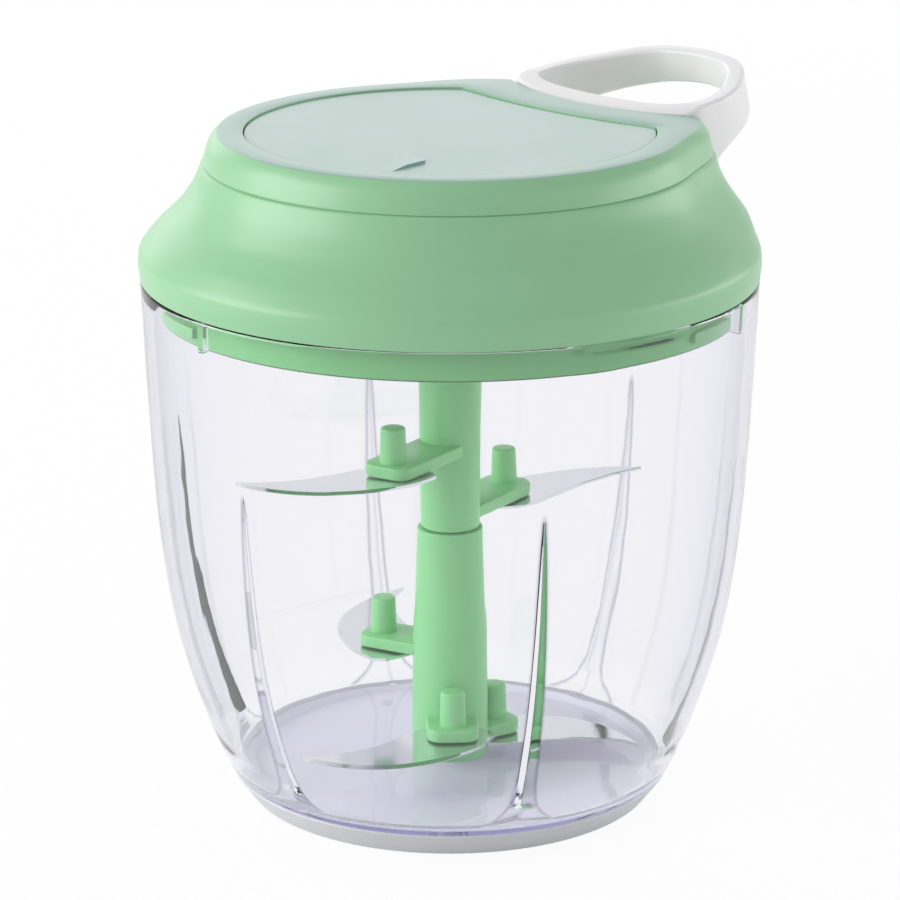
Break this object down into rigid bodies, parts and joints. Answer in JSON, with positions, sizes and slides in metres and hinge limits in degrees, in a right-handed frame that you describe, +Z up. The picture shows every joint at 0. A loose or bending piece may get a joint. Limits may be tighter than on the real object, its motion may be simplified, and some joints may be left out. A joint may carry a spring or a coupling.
{
  "type": "pull cord food chopper",
  "caption": "Hand food chopper: clear bowl with inner ribs, stepped tree of swept steel blades, and a green lid whose pull handle unwinds a sprung cord reel.",
  "frame": {"origin": "centre of the foot's flat underside, on the bowl's axis", "axes": "+Z up along the bowl's axis; +X from the axis to the pull handle, the way that it is pulled"},
  "size_m": [0.1404, 0.125, 0.1442],
  "materials": {
    "clear_plastic": "clear, polished",
    "foot_rubber": "matte, pale grey",
    "green_plastic": "satin",
    "plate_plastic": "glossy",
    "white_plastic": "satin",
    "handle_plastic": "satin",
    "bush_plastic": "natural",
    "seal_rubber": "matte",
    "cord": "braided",
    "steel": "brushed"
  },
  "bodies": {
    "bowl": {"bowl": "clear_plastic", "foot_pad": "foot_rubber", "centre_pin": "steel"},
    "blade_tree": {"lower_blade_holder": "green_plastic", "upper_blade_holder": "green_plastic", "bottom_blade": "steel", "front_blade": "steel", "middle_blade": "steel", "second_blade": "steel", "high_blade": "steel"},
    "seal": {"rim_seal": "seal_rubber"},
    "lid": {"lid_cover": "green_plastic", "top_plate": "plate_plastic", "lid_base": "green_plastic", "drive_bush": "bush_plastic", "spool_axle": "steel", "cord_eyelet": "steel", "lid_screw_1": "steel", "lid_screw_2": "steel", "lid_screw_3": "steel", "lid_screw_4": "steel"},
    "drive": {"drive_socket": "white_plastic", "thrust_washer": "bush_plastic"},
    "spool": {"spool": "white_plastic", "spool_cover": "white_plastic", "spiral_spring": "steel", "cord_winding": "cord"},
    "pawl_a": {"clutch_pawl_a": "white_plastic"},
    "pawl_b": {"clutch_pawl_b": "white_plastic"},
    "handle": {"pull_handle": "handle_plastic", "cord_lead": "cord", "cord_stop": "steel"}
  },
  "joints": [
    {"name": "lid_lift", "type": "slide", "parent": "bowl", "child": "seal", "axis": [0, 0, 1], "range_m": [0, 0.12]},
    {"name": "lid_twist", "type": "hinge", "parent": "seal", "child": "lid", "pos_m": [0, 0, 0.11], "axis": [0, 0, -1], "range_deg": [0, 20]},
    {"name": "handle_pull", "type": "slide", "parent": "lid", "child": "handle", "axis": [1, 0, 0], "range_m": [0, 0.38], "stiffness_N_per_m": 12, "springref_m": -0.25, "deforming": ["cord_lead"]},
    {"name": "spool_spin", "type": "hinge", "parent": "lid", "child": "spool", "pos_m": [0, 0, 0.125], "axis": [0, 0, 1], "range_deg": [0, 950], "deforming": ["spiral_spring"]},
    {"name": "drive_spin", "type": "hinge", "parent": "lid", "child": "drive", "pos_m": [0, 0, 0.11], "axis": [0, 0, 1], "continuous": true},
    {"name": "blade_spin", "type": "hinge", "parent": "bowl", "child": "blade_tree", "pos_m": [0, 0, 0.01], "axis": [0, 0, 1], "continuous": true},
    {"name": "pawl_a_rock", "type": "hinge", "parent": "spool", "child": "pawl_a", "pos_m": [0.0086, 0, 0.115], "axis": [0, 0, 1], "range_deg": [0, 12]},
    {"name": "pawl_b_rock", "type": "hinge", "parent": "spool", "child": "pawl_b", "pos_m": [-0.0086, 0, 0.115], "axis": [0, 0, 1], "range_deg": [0, 12]}
  ],
  "couplings": [
    {"joint": "spool_spin", "follows": "handle_pull", "rad_per_m": 43.478},
    {"joint": "drive_spin", "follows": "handle_pull", "rad_per_m": 43.478},
    {"joint": "blade_spin", "follows": "handle_pull", "rad_per_m": 43.478}
  ]
}
